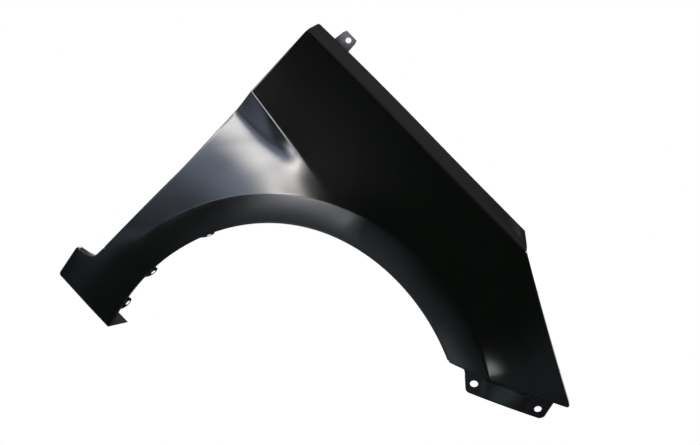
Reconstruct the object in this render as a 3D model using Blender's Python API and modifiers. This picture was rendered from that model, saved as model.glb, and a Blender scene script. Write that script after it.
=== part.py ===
"""Right front fender of a small car: one pressed steel panel with two welded brackets.

Metres. +X points to the front of the car, +Y inboard and +Z up, so the painted side faces -Y.
Every size below is measured from the wheel centre and the outermost plane of the panel. An empty
carries the wheel centre, and puts the origin on the bolting seat under the bonnet flange.
"""

import math

import bmesh
import bpy
import numpy as np
from mathutils import Matrix, Vector

# Sheet
sheet_thickness = 0.0008
bend_radius = 0.003
weld_gap = 0.0003
cut_overrun = 0.006

# Wheel opening: an arc of a large ellipse that leans back
arch_centre_x = 0.0843
arch_centre_z = -0.1205
arch_half_length = 0.4925
arch_half_width = 0.3901
arch_lean_deg = -53.4
arch_lip_width = 0.009

# Flare round the wheel opening
flare_radius = 0.404
flare_proud = 0.0102
flare_fillet_width = 0.076
flare_face_bulge = 0.0007
flare_crease_blend = 0.0005
flare_widening_power = 1.3

# Body section: crown up the side, and the turn-in towards the front of the car
widest_height = 0.150
upper_crown_radius = 1.300
lower_crown_radius = 2.500
turn_in_start = -0.150
turn_in_radius = 0.850

# Toe behind the wheel, and the notch for the door hinge
sill_height = -0.1645
toe_rear_x = -0.4742
toe_top_x = -0.4850
toe_top_height = -0.0915
notch_corner_height = -0.0820
door_edge_foot_height = -0.0480

# Door edge, character line and shoulder
door_edge_x = -0.4450
door_edge_straight_height = 0.180
door_edge_top_setback = 0.0248
door_edge_curve_power = 1.2
character_line_height = 0.3876
shoulder_height = 0.5498
shoulder_rear_drop = 0.0073
shoulder_front_x = 0.1345

# Scoop pressed in below the character line
scoop_depth = 0.0345
scoop_wall_width = 0.060
scoop_run_width = 0.430
scoop_run_power = 1.2
scoop_length = 0.160
scoop_nose_softness_share = 0.27
scoop_wall_power = 0.65
scoop_skew_share = 0.345
scoop_valley_blend = 0.0053
scoop_crease_clearance = 0.100

# Nose of the panel
nose_tip_x = 0.4497
nose_tip_height = 0.3720
nose_crease_x = 0.2770

# Shoulder strip, bonnet gap and top flange
shoulder_crease_reach = 0.005
strip_inboard = 0.035
strip_rise = 0.0245
strip_end_fall = 0.0040
strip_front_setback = 0.0330
strip_corner_radius = 0.006
gap_wall_inboard = 0.004
top_flange_drop = 0.0058
top_flange_width = 0.026
top_hole_diameter = 0.009
top_hole_inset = 0.013

# Flanges on the other edges
door_flange_width = 0.014
headlight_flange_width = 0.016
notch_flange_width = 0.013
nose_fold_width = 0.010
sill_flange_width = 0.042
sill_flange_rise_deg = 28.0
sill_flange_flare = 0.018
sill_hole_width_share = 0.6
corner_relief = 0.006
flange_hole_diameter = 0.007
sill_hole_diameter = 0.009

# Liner ears on the arch lip
ear_length = 0.0190
ear_half_width = 0.0150
ear_lean_deg = 26.0
ear_hole_diameter = 0.0105
ear_root = 0.0012
ear_rim = 0.0023
front_ear_lean_deg = 5.0

# Bumper bracket
bracket_thickness = 0.0012
bumper_start_x = 0.2195
bumper_end_x = 0.4190
bumper_foot_start_x = 0.2600
bumper_foot_end_x = 0.4320
bumper_foot_start_drop = 0.0545
bumper_foot_end_drop = 0.0550
bumper_corner_radius = 0.008
bumper_clearance = 0.0010
bumper_ledge = 0.008
bumper_hole_height = 0.0145
bumper_hole_length = 0.0172
bumper_hole_start_x = 0.2662
bumper_hole_end_x = 0.4079
bumper_hole_start_drop = 0.0323
bumper_hole_end_drop = 0.0357
bumper_pad_depth = 0.003
bumper_pad_span_shares = (0.20, 0.76)
bumper_pad_fall_shares = (0.16, 1.0)
bumper_pad_edge_share = 0.20

# Rear top bracket
top_bracket_x = -0.4090
top_bracket_foot_width = 0.038
top_bracket_head_width = 0.034
top_bracket_height = 0.0410
top_bracket_lean = 0.009
top_bracket_foot_length = 0.015
top_bracket_hole_diameter = 0.013
top_bracket_hole_height = 0.030
top_bracket_taper_shares = (0.20, 0.80)

# Stations round the panel: where each line across the skin leaves the arch and crosses the flare
toe_top_degs = (196.0, 196.0)
door_foot_degs = (187.0, 187.0)
character_degs = (113.0, 117.0)
apex_degs = (101.0, 103.0)
shoulder_front_degs = (73.0, 70.0)
nose_foot_deg = 56.8

# Flare height round the opening, as angle in degrees and share of its full height
flare_share_degs = (184.0, 150.0, 108.0, 84.0, 62.0, 50.0)
flare_height_shares = (0.0, 0.54, 1.0, 0.60, 0.78, 1.18)

# How the rows and columns of points are spaced, from 0 at the start of each stretch to 1 at its end
flare_row_shares = (0.0, 0.08, 0.25, 0.50, 0.75, 0.92, 1.0)
body_row_shares = (0.0, 0.03, 0.08, 0.14, 0.21, 0.30, 0.41, 0.53, 0.65, 0.77, 0.87, 0.95, 1.0)
toe_column_shares = (0.0, 0.35, 0.70, 1.0)
notch_column_shares = (0.0, 0.20, 0.35, 0.50, 0.65, 0.80, 1.0)
door_low_column_shares = (
    0.0, 0.08, 0.17, 0.26, 0.35, 0.44, 0.52, 0.60, 0.67, 0.73, 0.79, 0.84, 0.88, 0.92, 0.95, 0.975,
    0.992, 1.0,
)
door_high_column_shares = (0.0, 0.05, 0.18, 0.38, 0.60, 0.82, 0.94, 1.0)
shoulder_column_shares = (0.0, 0.015, 0.05) + tuple(step / 20 for step in range(2, 21))
headlight_column_shares = (0.0, 0.04, 0.12, 0.22, 0.33, 0.44, 0.55, 0.65, 0.74, 0.82, 0.89, 0.95, 1.0)
bumper_row_shares = (0.06, 0.12, 0.22, 0.34, 0.50, 0.66, 0.78, 0.90, 1.0)
top_bracket_row_shares = (0.08, 0.20, 0.35, 0.50, 0.65, 0.80, 0.90, 0.96, 1.0)

# Holes along the flanges, as shares of the stretch that carries them
top_hole_shares = (0.20, 0.45, 0.70, 0.92)
door_hole_shares = (0.12, 0.55)
headlight_hole_shares = (0.25, 0.75)
sill_hole_shares = (0.30, 0.72)
rear_ear_degs = (197.2, 182.5, 158.2)
front_ear_degs = (128.0, 98.0, 70.0)

# Middle of the bolting seat, as a share of the shoulder's length
seat_share = 0.575

# Fineness of round and repeated forms
hole_sides = 20
ear_sides = 12
bumper_columns = 21
top_bracket_columns = 7
sharp_angle_deg = 40.0
share_step = 0.001

INBOARD = np.array([0.0, 1.0, 0.0])
UP = np.array([0.0, 0.0, 1.0])


def direction(angle):
    return np.array([math.cos(angle), math.sin(angle)])


def smooth(value):
    """0 below 0, 1 above 1, and an even ease between."""
    value = np.clip(value, 0.0, 1.0)
    return value * value * (3 - 2 * value)


def mix(start, end, share):
    return start + (end - start) * share


def soft_higher(a, b, blend):
    """The higher of two values, with a round change from one to the other."""
    return (a + b + np.sqrt((a - b) ** 2 + blend**2)) / 2


def soft_lower(a, b, blend):
    """The lower of two values, with a round change from one to the other."""
    return (a + b - np.sqrt((a - b) ** 2 + blend**2)) / 2


def plateau(value, span, edge):
    """1 inside the span and 0 outside it, with soft edges of this width on the inside."""
    return smooth((value - span[0]) / edge) * smooth((span[1] - value) / edge)


def arch_radius(angle):
    """Distance from the wheel centre to the leaning ellipse of the wheel opening."""
    lean = math.radians(arch_lean_deg)
    along, across = direction(lean), direction(lean + math.pi / 2)
    ray_x, ray_z = np.cos(angle), np.sin(angle)
    ray_along = (ray_x * along[0] + ray_z * along[1]) / arch_half_length
    ray_across = (ray_x * across[0] + ray_z * across[1]) / arch_half_width
    mid_along = (arch_centre_x * along[0] + arch_centre_z * along[1]) / arch_half_length
    mid_across = (arch_centre_x * across[0] + arch_centre_z * across[1]) / arch_half_width
    a = ray_along**2 + ray_across**2
    b = ray_along * mid_along + ray_across * mid_across
    c = mid_along**2 + mid_across**2 - 1
    return (b + np.sqrt(b * b - a * c)) / a


def skin_start_radius(angle):
    """Where the skin ends and the bend of the arch lip begins."""
    return arch_radius(angle) + bend_radius


def unit(vectors):
    return vectors / np.linalg.norm(vectors, axis=-1, keepdims=True)


def angle_at_height(radius_of, height):
    """Angle behind the wheel centre at which a curve round it comes down to this height."""
    above, below = math.pi / 2, 3 * math.pi / 2
    for _ in range(50):
        middle = (above + below) / 2
        if radius_of(middle) * math.sin(middle) > height:
            above = middle
        else:
            below = middle
    return above


def nose_line(x):
    """Height of the nose's lower edge, straight from the wheel opening to the tip."""
    angle = math.radians(nose_foot_deg)
    foot = direction(angle) * skin_start_radius(angle)
    tip = set_back(headlight_edge, 1.0)[0]
    return foot[1] + (tip[1] - foot[1]) * (x - foot[0]) / (tip[0] - foot[0])


def crease_radius(angle):
    """Distance from the wheel centre to the flare's crease: round, and wider at the nose."""
    nose_height = nose_line(nose_crease_x)
    nose_angle = math.atan2(nose_height, nose_crease_x)
    widening = math.hypot(nose_crease_x, nose_height) - flare_radius
    round_end = math.radians(shoulder_front_degs[1])
    share = np.clip((round_end - angle) / (round_end - nose_angle), 0.0, None)
    return flare_radius + widening * share**flare_widening_power


def door_line_x(height):
    """The door edge stands upright below and leans back above."""
    span = shoulder_height - shoulder_rear_drop - door_edge_straight_height
    share = np.clip((height - door_edge_straight_height) / span, 0.0, None)
    return door_edge_x - door_edge_top_setback * share**door_edge_curve_power


def bezier(points, share):
    """A point on the curve that these handles draw."""
    points = [np.array(point) for point in points]
    while len(points) > 1:
        points = [mix(a, b, share) for a, b in zip(points, points[1:])]
    return points[0]


def toe_edge(share):
    foot = np.array([toe_rear_x, sill_height + bend_radius])
    return mix(foot, np.array([toe_top_x, toe_top_height]), share)


def notch_edge(share):
    corner = (door_edge_x, notch_corner_height)
    foot = (door_edge_x, door_edge_foot_height)
    return bezier([(toe_top_x, toe_top_height), corner, corner, foot], share)


def door_low_edge(share):
    height = mix(door_edge_foot_height, character_line_height, share)
    return np.array([door_line_x(height), height])


def door_high_edge(share):
    height = mix(character_line_height, shoulder_height - shoulder_rear_drop, share)
    return np.array([door_line_x(height), height])


def shoulder_edge(share):
    rear_x = door_line_x(shoulder_height - shoulder_rear_drop)
    height = shoulder_height - shoulder_rear_drop * (1 - share) ** 2
    return np.array([mix(rear_x, shoulder_front_x, share), height])


def headlight_edge(share):
    top = np.array([shoulder_front_x, shoulder_height])
    return mix(top, np.array([nose_tip_x, nose_tip_height]), share)


def flare_offset(x, z):
    """How far the flare stands out from the body's own section, as a negative depth."""
    angle = np.arctan2(z, x) % (2 * math.pi)
    radius = np.hypot(x, z)
    crease, edge = crease_radius(angle), arch_radius(angle)
    known = np.radians(flare_share_degs[::-1])
    height = flare_proud * np.interp(angle, known, flare_height_shares[::-1])
    across = (radius - edge) / (crease - edge)
    bulge = flare_face_bulge * 4 * across * np.clip(1 - across, 0.0, None)
    beyond = np.clip((radius - crease) / flare_fillet_width, None, 1.0)
    return soft_higher(-height * across - bulge, -height * (1 - beyond) ** 2, flare_crease_blend)


def scoop_offset(x, z):
    """Depth of the pressed scoop: a wall below the character line that meets a long sloping floor."""
    rear = np.array([door_line_x(character_line_height), character_line_height])
    crossing = math.radians(character_degs[1])
    line = direction(crossing) * crease_radius(crossing) - rear
    line = line / np.linalg.norm(line)
    along = (x - rear[0]) * line[0] + (z - rear[1]) * line[1]
    below = np.clip((x - rear[0]) * line[1] - (z - rear[1]) * line[0], 0.0, None)
    reach = soft_higher(0.0, 1 - along / scoop_length, scoop_nose_softness_share)
    skewed_along = along + scoop_skew_share * below
    skewed_reach = soft_higher(0.0, 1 - skewed_along / scoop_length, scoop_nose_softness_share)
    floor = scoop_depth * skewed_reach * np.clip(1 - below / scoop_run_width, 0.0, 1.0) ** scoop_run_power
    wall = scoop_depth / scoop_wall_width * below * reach**scoop_wall_power
    depth = soft_lower(wall, floor, scoop_valley_blend) - soft_lower(0.0, floor, scoop_valley_blend)
    crease = crease_radius(np.arctan2(z, x) % (2 * math.pi))
    return depth * smooth((np.hypot(x, z) - crease) / scoop_crease_clearance)


def body_depth(x, z):
    """Depth of the plain body section: upright crown and turn-in."""
    rise = z - widest_height
    crown_radius = np.where(rise > 0, upper_crown_radius, lower_crown_radius)
    turn = np.clip(x - turn_in_start, 0.0, None)
    return rise**2 / (2 * crown_radius) + turn**2 / (2 * turn_in_radius)


def skin_depth(x, z):
    return body_depth(x, z) + flare_offset(x, z) + scoop_offset(x, z)


def set_back(edge, share):
    """The edge point moved in by the bend radius, with the outward direction there."""
    tangent = edge(min(share + share_step, 1.0)) - edge(max(share - share_step, 0.0))
    outward = np.array([-tangent[1], tangent[0]]) / np.linalg.norm(tangent)
    return edge(share) - bend_radius * outward, outward


def skin_columns():
    """One entry for each line across the skin: the stretch it ends on, its share there and its ends."""
    sill_arch = math.degrees(angle_at_height(skin_start_radius, sill_height + bend_radius))
    sill_crease = math.degrees(angle_at_height(crease_radius, sill_height + bend_radius))
    nose_crease = math.degrees(math.atan2(nose_line(nose_crease_x), nose_crease_x))
    stations = [
        ("toe", toe_edge, toe_column_shares, (sill_arch, sill_crease)),
        ("notch", notch_edge, notch_column_shares, toe_top_degs),
        ("door_low", door_low_edge, door_low_column_shares, door_foot_degs),
        ("door_high", door_high_edge, door_high_column_shares, character_degs),
        ("shoulder", shoulder_edge, shoulder_column_shares, apex_degs),
        ("headlight", headlight_edge, headlight_column_shares, shoulder_front_degs),
    ]
    end_degs = [station[3] for station in stations[1:]] + [(nose_foot_deg, nose_crease)]
    columns = []
    for (name, edge, shares, start), end in zip(stations, end_degs):
        for share in shares if name == "toe" else shares[1:]:
            arch_angle = math.radians(mix(start[0], end[0], share))
            crease_angle = math.radians(mix(start[1], end[1], share))
            columns.append((name, edge, share, arch_angle, crease_angle))
    return columns


def skin_grid(columns):
    """Points of the skin, by column round the panel and by row from the arch to the outer edge."""
    grid = []
    for name, edge, share, arch_angle, crease_angle in columns:
        start = direction(arch_angle) * skin_start_radius(arch_angle)
        middle = direction(crease_angle) * crease_radius(crease_angle)
        end = set_back(edge, share)[0]
        if name == "shoulder":
            end = edge(share) - shoulder_crease_reach * unit(edge(share) - middle)
        flat = [mix(start, middle, row) for row in flare_row_shares]
        flat += [mix(middle, end, row) for row in body_row_shares[1:]]
        grid.append(flat)
    grid = np.array(grid)
    x, z = grid[..., 0], grid[..., 1]
    return np.stack([x, skin_depth(x, z), z], axis=-1)


class Sheet:
    """Collects rows of points as one open surface."""

    def __init__(self):
        self.mesh = bmesh.new()

    def row(self, points):
        return [self.mesh.verts.new(point) for point in points]

    def fill(self, first, second):
        """Faces between two rows of points."""
        for a, b, c, d in zip(first, first[1:], second[1:], second):
            self.mesh.faces.new([a, b, c, d])

    def rows(self, verts, shapes, flip=False):
        """Adds rows of points one after another to an edge that is there."""
        for points in shapes:
            after = self.row(points)
            self.fill(*((after, verts) if flip else (verts, after)))
            verts = after


def in_space(flat):
    """A direction in the side view, as a direction in space."""
    flat = np.array(flat)
    return np.stack([flat[..., 0], np.zeros(flat.shape[:-1]), flat[..., 1]], axis=-1)


def folded_edge(sheet, verts, outward, fold, width, flip=False, notched=(True, True)):
    """Folds a flange off an edge of the skin, with its ends pulled in to leave a notch at a corner."""
    points = np.array([vert.co for vert in verts])
    tangents = unit(np.gradient(points, axis=0))
    ends = np.zeros(points.shape)
    ends[0] = tangents[0] * corner_relief * notched[0]
    ends[-1] = -tangents[-1] * corner_relief * notched[1]
    middle = math.sin(math.pi / 4) * outward + (1 - math.cos(math.pi / 4)) * fold
    shapes = [
        points + bend_radius * middle + ends / 2,
        points + bend_radius * (outward + fold) + ends,
        points + bend_radius * (outward + fold) + ends + fold * width,
    ]
    sheet.rows(verts, shapes, flip)


def shoulder_points(shares):
    """Points on the skin's shoulder crease at these shares of its length."""
    flat = np.array([shoulder_edge(share) for share in shares])
    return np.stack([flat[:, 0], skin_depth(flat[:, 0], flat[:, 1]), flat[:, 1]], axis=-1)


def shoulder_strip(crease, shares):
    """The far edge of the strip that runs along the shoulder crease."""
    bow = 1 - (2 * shares - 1) ** 2
    edge = crease + np.stack([
        -strip_front_setback * smooth(2 * shares - 1),
        np.full(len(shares), strip_inboard),
        strip_rise - strip_end_fall * (1 - bow),
    ], axis=-1)
    edge[shares == 0] -= strip_corner_radius * (INBOARD + UP / 2)
    return edge


def flange_line(edge):
    """Where the top flange starts, beyond the strip's far edge and the wall of the bonnet gap."""
    start = edge + (2 * bend_radius + gap_wall_inboard) * INBOARD
    start[:, 2] = shoulder_height - top_flange_drop
    return start


def shoulder_shapes(skin_end, shares):
    """Rows beyond the skin: rounded crease, strip, wall of the bonnet gap and top flange."""
    crease = shoulder_points(shares)
    edge = shoulder_strip(crease, shares)
    across = unit(edge - crease)
    strip_start = crease + across * shoulder_crease_reach
    start = flange_line(edge)
    end = start + (top_flange_width - bend_radius) * INBOARD
    return [
        (skin_end + 2 * crease + strip_start) / 4,
        strip_start,
        mix(strip_start, edge, 0.5),
        edge - across * bend_radius,
        edge + bend_radius * (1 - math.cos(math.pi / 4)) * (INBOARD - UP),
        edge + bend_radius * (INBOARD - UP),
        start + bend_radius * (UP - INBOARD),
        start,
        mix(start, end, 0.5),
        end,
    ]


def stretch(columns, *wanted):
    """The columns from the start of the first named stretch of the outline to the end of the last."""
    names = [column[0] for column in columns]
    first = names.index(wanted[0])
    last = len(names) - names[::-1].index(wanted[-1])
    return slice(max(first - 1, 0), last)


def outward_along(columns):
    """Outward directions along one stretch, which begins where the stretch before it ends."""
    places = [(columns[1][1], 0.0)] + [(column[1], column[2]) for column in columns[1:]]
    return in_space([set_back(edge, share)[1] for edge, share in places])


def make_panel_mesh():
    """The skin with every flange folded off it, as one open surface facing outward."""
    columns = skin_columns()
    grid = skin_grid(columns)
    sheet = Sheet()
    verts = [sheet.row(column) for column in grid]
    for left, right in zip(verts, verts[1:]):
        sheet.fill(right, left)
    outer = [column[-1] for column in verts]

    for wanted, width in (
        (("toe",), notch_flange_width),
        (("notch",), notch_flange_width),
        (("door_low", "door_high"), door_flange_width),
        (("headlight",), headlight_flange_width),
    ):
        part = stretch(columns, *wanted)
        folded_edge(sheet, outer[part], outward_along(columns[part]), INBOARD, width)

    part = stretch(columns, "shoulder")
    shares = np.array([0.0] + [column[2] for column in columns[part][1:]])
    sheet.rows(outer[part], shoulder_shapes(grid[part, -1], shares))

    lip = [column[0] for column in verts[1:-1]]
    inward = in_space([-direction(column[3]) for column in columns[1:-1]])
    folded_edge(sheet, lip, inward, INBOARD, arch_lip_width, flip=True)

    along = unit(grid[-1, -1] - grid[-1, 0])
    below = unit(np.array([along[2], 0.0, -along[0]]))
    folded_edge(sheet, verts[-1], below, INBOARD, nose_fold_width, flip=True)

    rise = math.radians(sill_flange_rise_deg)
    towards_arch = np.linspace(1.0, 0.0, len(verts[0]))[:, None] ** 2
    forward = towards_arch * sill_flange_flare / sill_flange_width * np.array([1.0, 0.0, 0.0])
    fold = math.cos(rise) * INBOARD + math.sin(rise) * UP + forward
    folded_edge(sheet, verts[0], -UP, fold, sill_flange_width, notched=(False, True))
    return sheet.mesh


def top_flange_points(shares):
    """Points on the top flange, in from its outer bend by the inset of the bolt holes."""
    shares = np.array(shares)
    return flange_line(shoulder_strip(shoulder_points(shares), shares)) + top_hole_inset * INBOARD


def frame_of(origin, x_axis, z_axis):
    """Placement matrix from an origin and two directions."""
    x_axis, z_axis = Vector(x_axis).normalized(), Vector(z_axis).normalized()
    y_axis = z_axis.cross(x_axis)
    matrix = Matrix((x_axis, y_axis, z_axis)).transposed().to_4x4()
    return Matrix.Translation(Vector(origin)) @ matrix


def drill(mesh, place, axis, diameter, length=None):
    """Adds one cutter through a sheet at this place: round, or longer one way where a length is given."""
    side = (1.0, 0.0, 0.0) if abs(axis[0]) < 0.9 else (0.0, 1.0, 0.0)
    side = Vector(axis).cross(Vector(side))
    drawn_out = Matrix.Scale((length or diameter) / diameter, 4, (0.0, 1.0, 0.0))
    bmesh.ops.create_cone(
        mesh,
        cap_ends=True,
        segments=hole_sides,
        radius1=diameter / 2,
        radius2=diameter / 2,
        depth=2 * cut_overrun,
        matrix=frame_of(place, side, axis) @ drawn_out,
    )


def ear_place(angle_deg):
    """Middle of the arch lip's free edge at this angle, with the directions to the centre and along."""
    angle = math.radians(angle_deg)
    radial = in_space(direction(angle))
    root = direction(angle) * skin_start_radius(angle)
    depth = skin_depth(root[0], root[1]) + bend_radius + arch_lip_width
    edge = radial * arch_radius(angle) + depth * INBOARD
    step = math.radians(1.0)
    beyond = in_space(direction(angle + step)) * arch_radius(angle + step)
    along = unit(beyond - radial * arch_radius(angle))
    return edge, -radial, along


def ear_directions(angle_deg, lean_deg):
    edge, towards_centre, along = ear_place(angle_deg)
    lean = math.radians(lean_deg)
    reach = math.cos(lean) * INBOARD + math.sin(lean) * towards_centre
    return edge, unit(reach), along


def add_ear(mesh, angle_deg, lean_deg):
    """A half-moon plate that grows out of the lip."""
    edge, reach, along = ear_directions(angle_deg, lean_deg)
    thick = unit(np.cross(along, reach))
    towards_centre = ear_place(angle_deg)[1]
    thick = thick * sheet_thickness * (-1 if thick @ towards_centre > 0 else 1)
    turns = np.linspace(0.0, math.pi, ear_sides + 1)
    outline = [edge - reach * ear_root + along * ear_half_width]
    outline += [
        edge + along * ear_half_width * math.cos(turn) + reach * ear_length * math.sin(turn)
        for turn in turns
    ]
    outline += [edge - reach * ear_root - along * ear_half_width]
    face = mesh.faces.new([mesh.verts.new(point) for point in outline])
    made = bmesh.ops.extrude_face_region(mesh, geom=[face])["geom"]
    moved = [item for item in made if isinstance(item, bmesh.types.BMVert)]
    bmesh.ops.translate(mesh, verts=moved, vec=Vector(thick))


def panel_ears():
    mesh = bmesh.new()
    for angle, lean in ears():
        add_ear(mesh, angle, lean)
    bmesh.ops.recalc_face_normals(mesh, faces=mesh.faces)
    return mesh


def ears():
    """Every ear's angle round the opening and its lean towards the wheel."""
    rear = [(angle, ear_lean_deg) for angle in rear_ear_degs]
    return rear + [(angle, front_ear_lean_deg) for angle in front_ear_degs]


def panel_holes():
    """Round cutters for every hole in the panel."""
    mesh = bmesh.new()
    for point in top_flange_points(top_hole_shares):
        drill(mesh, point, UP, top_hole_diameter)
    for angle, lean in ears():
        edge, reach, along = ear_directions(angle, lean)
        centre = edge + reach * (ear_length - ear_rim - ear_hole_diameter / 2)
        drill(mesh, centre, np.cross(along, reach), ear_hole_diameter)
    for edge, shares, width in (
        (door_low_edge, door_hole_shares, door_flange_width),
        (headlight_edge, headlight_hole_shares, headlight_flange_width),
    ):
        for share in shares:
            (x, z), outward = set_back(edge, share)
            depth = skin_depth(x, z) + bend_radius + width / 2
            centre = np.array([x, depth, z]) + bend_radius * in_space(outward)
            drill(mesh, centre, in_space(outward), flange_hole_diameter)
    rise = math.radians(sill_flange_rise_deg)
    fold = math.cos(rise) * INBOARD + math.sin(rise) * UP
    front = angle_at_height(skin_start_radius, sill_height + bend_radius)
    front_x = skin_start_radius(front) * math.cos(front)
    for share in sill_hole_shares:
        x = mix(front_x, toe_rear_x, share)
        depth = skin_depth(x, sill_height + bend_radius) + bend_radius
        centre = np.array([x, depth, sill_height]) + fold * sill_flange_width * sill_hole_width_share
        drill(mesh, centre, np.cross(fold, (1.0, 0.0, 0.0)), sill_hole_diameter)
    return mesh


def plate_depth(x):
    """Depth of the bumper bracket's plate, which hangs clear of the nose's fold."""
    fold_reach = bend_radius + nose_fold_width
    return body_depth(x, nose_line(x)) + fold_reach + bumper_clearance + bend_radius


def bumper_point(share, fall):
    """A point of the bumper bracket's plate: share along it, and fall from its top (0) to its foot (1)."""
    start_x = mix(bumper_start_x, bumper_foot_start_x, fall)
    end_x = mix(bumper_end_x, bumper_foot_end_x, fall)
    x = mix(start_x, end_x, share)
    foot_length = bumper_foot_end_x - bumper_foot_start_x
    short_of_corner = 1 - min(min(share, 1 - share) * foot_length / bumper_corner_radius, 1.0)
    corner = bumper_corner_radius * (1 - math.sqrt(1 - short_of_corner**2))
    drop = mix(bumper_foot_start_drop, bumper_foot_end_drop, share) - corner
    pad = plateau(share, bumper_pad_span_shares, bumper_pad_edge_share)
    pad *= plateau(fall, bumper_pad_fall_shares, bumper_pad_edge_share)
    return np.array([x, plate_depth(x) - bumper_pad_depth * pad, nose_line(x) - fall * drop])


def bumper_bracket_mesh():
    """A plate hanging behind the nose's lower edge, with a ledge that lies on the nose's fold."""
    crease = np.array([nose_crease_x, nose_line(nose_crease_x)])
    along = unit(np.array([nose_tip_x, nose_line(nose_tip_x)]) - crease)
    lift = in_space([-along[1], along[0]]) * (weld_gap + sheet_thickness - bend_radius)
    shares = np.linspace(0.0, 1.0, bumper_columns)
    top = np.array([bumper_point(share, 0.0) for share in shares]) + lift
    rows = [top - bumper_ledge * INBOARD, top - bumper_ledge / 2 * INBOARD, top - bend_radius * INBOARD]
    for fall in bumper_row_shares:
        rows.append(np.array([bumper_point(share, fall) for share in shares]) + lift)
    sheet = Sheet()
    sheet.rows(sheet.row(rows[0]), rows[1:], flip=True)
    return sheet.mesh


def bumper_holes():
    mesh = bmesh.new()
    for x, drop in (
        (bumper_hole_start_x, bumper_hole_start_drop),
        (bumper_hole_end_x, bumper_hole_end_drop),
    ):
        centre = (x, plate_depth(x), nose_line(x) - drop)
        slope = max(x - turn_in_start, 0.0) / turn_in_radius
        axis = unit(INBOARD - slope * np.array([1.0, 0.0, 0.0]))
        drill(mesh, centre, axis, bumper_hole_height, bumper_hole_length)
    return mesh


def top_bracket_root():
    """Middle of the top bracket's bend, on the top flange near its inner edge."""
    rear_x = shoulder_edge(0.0)[0]
    root = top_flange_points([(top_bracket_x - rear_x) / (shoulder_front_x - rear_x)])[0]
    reach = top_flange_width - bend_radius - top_hole_inset - bracket_thickness
    return root + reach * INBOARD + (weld_gap + bracket_thickness) * UP


def top_bracket_mesh():
    """A foot that lies on the top flange and a tongue that rises from it."""
    root = top_bracket_root()
    across = np.linspace(-0.5, 0.5, top_bracket_columns)[:, None] * np.array([1.0, 0.0, 0.0])
    foot = root + across * top_bracket_foot_width
    rows = [foot - back * INBOARD for back in (top_bracket_foot_length, 2 * bend_radius, bend_radius)]
    rows.append(foot + bend_radius * (1 - math.sqrt(0.5)) * (UP - INBOARD))
    lean = top_bracket_lean / top_bracket_height * INBOARD
    for share in top_bracket_row_shares:
        start, end = top_bracket_taper_shares
        taper = smooth((share - start) / (end - start))
        corner = bend_radius * smooth((share - end) / (1 - end))
        width = mix(top_bracket_foot_width, top_bracket_head_width, taper) - 2 * corner
        rows.append(root + across * width + (UP + lean) * share * top_bracket_height)
    sheet = Sheet()
    sheet.rows(sheet.row(rows[0]), rows[1:])
    return sheet.mesh


def top_bracket_hole():
    mesh = bmesh.new()
    lean = top_bracket_lean / top_bracket_height
    centre = top_bracket_root() + top_bracket_hole_height * (UP + lean * INBOARD)
    drill(mesh, centre, unit(INBOARD - lean * UP), top_bracket_hole_diameter)
    return mesh


def principled(name, colour, roughness):
    material = bpy.data.materials.new(name)
    material.use_nodes = True
    shader = material.node_tree.nodes["Principled BSDF"]
    shader.inputs["Base Color"].default_value = (*colour, 1.0)
    shader.inputs["Roughness"].default_value = roughness
    shader.inputs["Metallic"].default_value = 0.0
    return material


def add_object(name, mesh, collection, parent, material=None):
    data = bpy.data.meshes.new(name)
    mesh.to_mesh(data)
    mesh.free()
    thing = bpy.data.objects.new(name, data)
    collection.objects.link(thing)
    thing.parent = parent
    if material:
        data.materials.append(material)
        data.shade_smooth()
        data.set_sharp_from_angle(angle=math.radians(sharp_angle_deg))
    else:
        thing.hide_render = True
        thing.display_type = "WIRE"
    return thing


def thicken(thing, thickness, even=True):
    modifier = thing.modifiers.new("thickness", "SOLIDIFY")
    modifier.thickness = thickness
    modifier.offset = -1.0
    modifier.use_even_offset = even


def combine(thing, other, operation):
    modifier = thing.modifiers.new(other.name, "BOOLEAN")
    modifier.operation = operation
    modifier.solver = "EXACT"
    modifier.object = other


def main():
    for thing in list(bpy.data.objects):
        bpy.data.objects.remove(thing)
    parts = bpy.data.collections.new("car_fender")
    cutters = bpy.data.collections.new("cutters")
    for collection in (parts, cutters):
        bpy.context.scene.collection.children.link(collection)

    seat = top_flange_points([seat_share])[0] - sheet_thickness * UP
    wheel_centre = bpy.data.objects.new("wheel_centre", None)
    wheel_centre.location = Vector(-seat)
    parts.objects.link(wheel_centre)

    primer = principled("black_primer", (0.012, 0.013, 0.015), 0.28)
    bracket_primer = principled("bracket_primer", (0.020, 0.021, 0.024), 0.40)

    panel = add_object("fender_panel", make_panel_mesh(), parts, wheel_centre, primer)
    thicken(panel, sheet_thickness)
    combine(panel, add_object("liner_ears", panel_ears(), cutters, wheel_centre), "UNION")
    combine(panel, add_object("panel_holes", panel_holes(), cutters, wheel_centre), "DIFFERENCE")

    bumper = add_object("bumper_bracket", bumper_bracket_mesh(), parts, wheel_centre, bracket_primer)
    thicken(bumper, bracket_thickness, even=False)
    combine(bumper, add_object("bumper_holes", bumper_holes(), cutters, wheel_centre), "DIFFERENCE")

    top = add_object("rear_top_bracket", top_bracket_mesh(), parts, wheel_centre, bracket_primer)
    thicken(top, bracket_thickness)
    combine(top, add_object("top_hole", top_bracket_hole(), cutters, wheel_centre), "DIFFERENCE")


main()
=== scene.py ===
# %% [markdown]
# # A front fender in black dip primer
# The object is the right front fender of a small car: one sheet of steel, pressed and folded, with two
# small brackets welded to it. It is sold in a black primer and painted later in the colour of the car.
# This lesson dresses the plain solid model. A fine copy of the pressed sheet comes first, because a glossy
# black surface shows every facet of a coarse one. Camera, primer and studio follow.

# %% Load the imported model
import math

import bmesh
import bpy
import numpy as np
from mathutils import Matrix, Vector


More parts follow.
